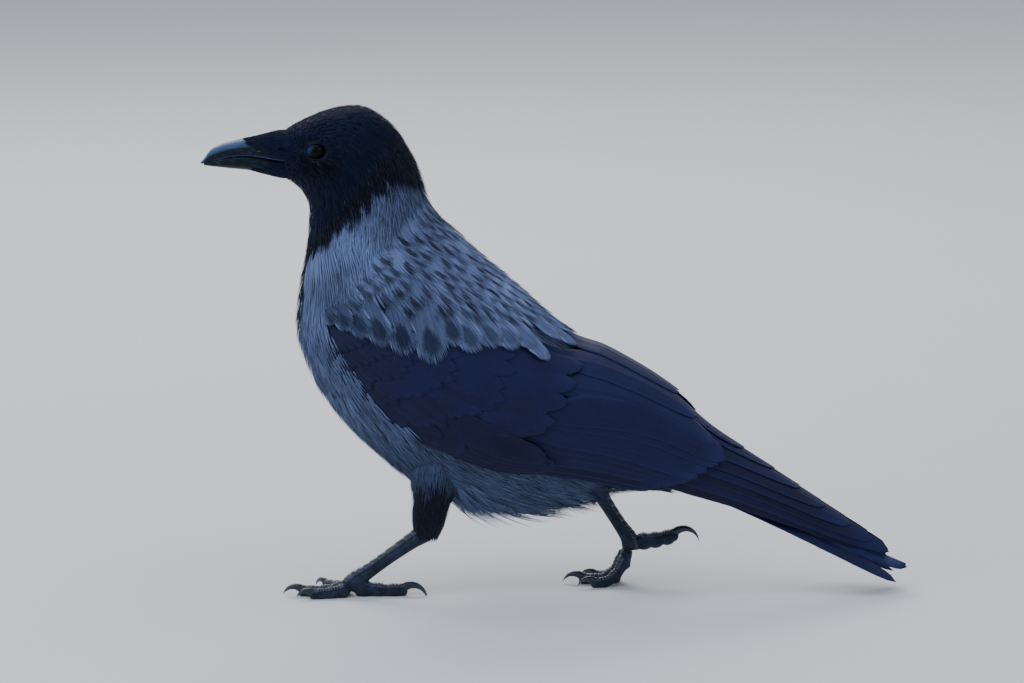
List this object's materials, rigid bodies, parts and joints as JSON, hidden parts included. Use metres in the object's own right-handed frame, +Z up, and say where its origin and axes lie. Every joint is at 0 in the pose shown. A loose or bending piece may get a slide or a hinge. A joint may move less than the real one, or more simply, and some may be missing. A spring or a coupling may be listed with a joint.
{
  "type": "hooded crow",
  "caption": "Life-size still model of a walking hooded crow with a black head and wings and a grey body.",
  "frame": {"origin": "bottom centre of the bird's box, on the floor", "axes": "bird faces -X, its left side is -Y, +Z is up"},
  "size_m": [0.3882, 0.1094, 0.27],
  "materials": {
    "black_plumage": "black feathers with a faint blue sheen",
    "grey_plumage": "soft matt grey feathers with dark shafts",
    "flight_feathers": "black feathers with a blue and violet gloss",
    "bill": "smooth black horn, half gloss",
    "scaly_leg": "black scaled skin",
    "claw": "smooth black horn",
    "eye": "wet dark brown"
  },
  "bodies": {
    "root": {"head": "black_plumage", "neck": "black_plumage", "breast": "grey_plumage", "trunk": "grey_plumage", "rump": "grey_plumage", "eye_left": "eye", "eye_right": "eye", "bill_upper": "bill", "bill_lower": "bill", "nasal_bristles": "black_plumage", "wing_left_scapulars": "grey_plumage", "wing_left_coverts": "flight_feathers", "wing_left_alula": "flight_feathers", "wing_left_tertials": "flight_feathers", "wing_left_secondaries": "flight_feathers", "wing_left_primaries": "flight_feathers", "wing_right_scapulars": "grey_plumage", "wing_right_coverts": "flight_feathers", "wing_right_alula": "flight_feathers", "wing_right_tertials": "flight_feathers", "wing_right_secondaries": "flight_feathers", "wing_right_primaries": "flight_feathers", "tail_feathers_left": "flight_feathers", "tail_feathers_right": "flight_feathers", "thigh_left": "black_plumage", "tarsus_left": "scaly_leg", "toe_left_1": "scaly_leg", "claw_left_1": "claw", "toe_left_2": "scaly_leg", "claw_left_2": "claw", "toe_left_3": "scaly_leg", "claw_left_3": "claw", "toe_left_4": "scaly_leg", "claw_left_4": "claw", "thigh_right": "black_plumage", "tarsus_right": "scaly_leg", "toe_right_1": "scaly_leg", "claw_right_1": "claw", "toe_right_2": "scaly_leg", "claw_right_2": "claw", "toe_right_3": "scaly_leg", "claw_right_3": "claw", "toe_right_4": "scaly_leg", "claw_right_4": "claw"}
  },
  "joints": []
}
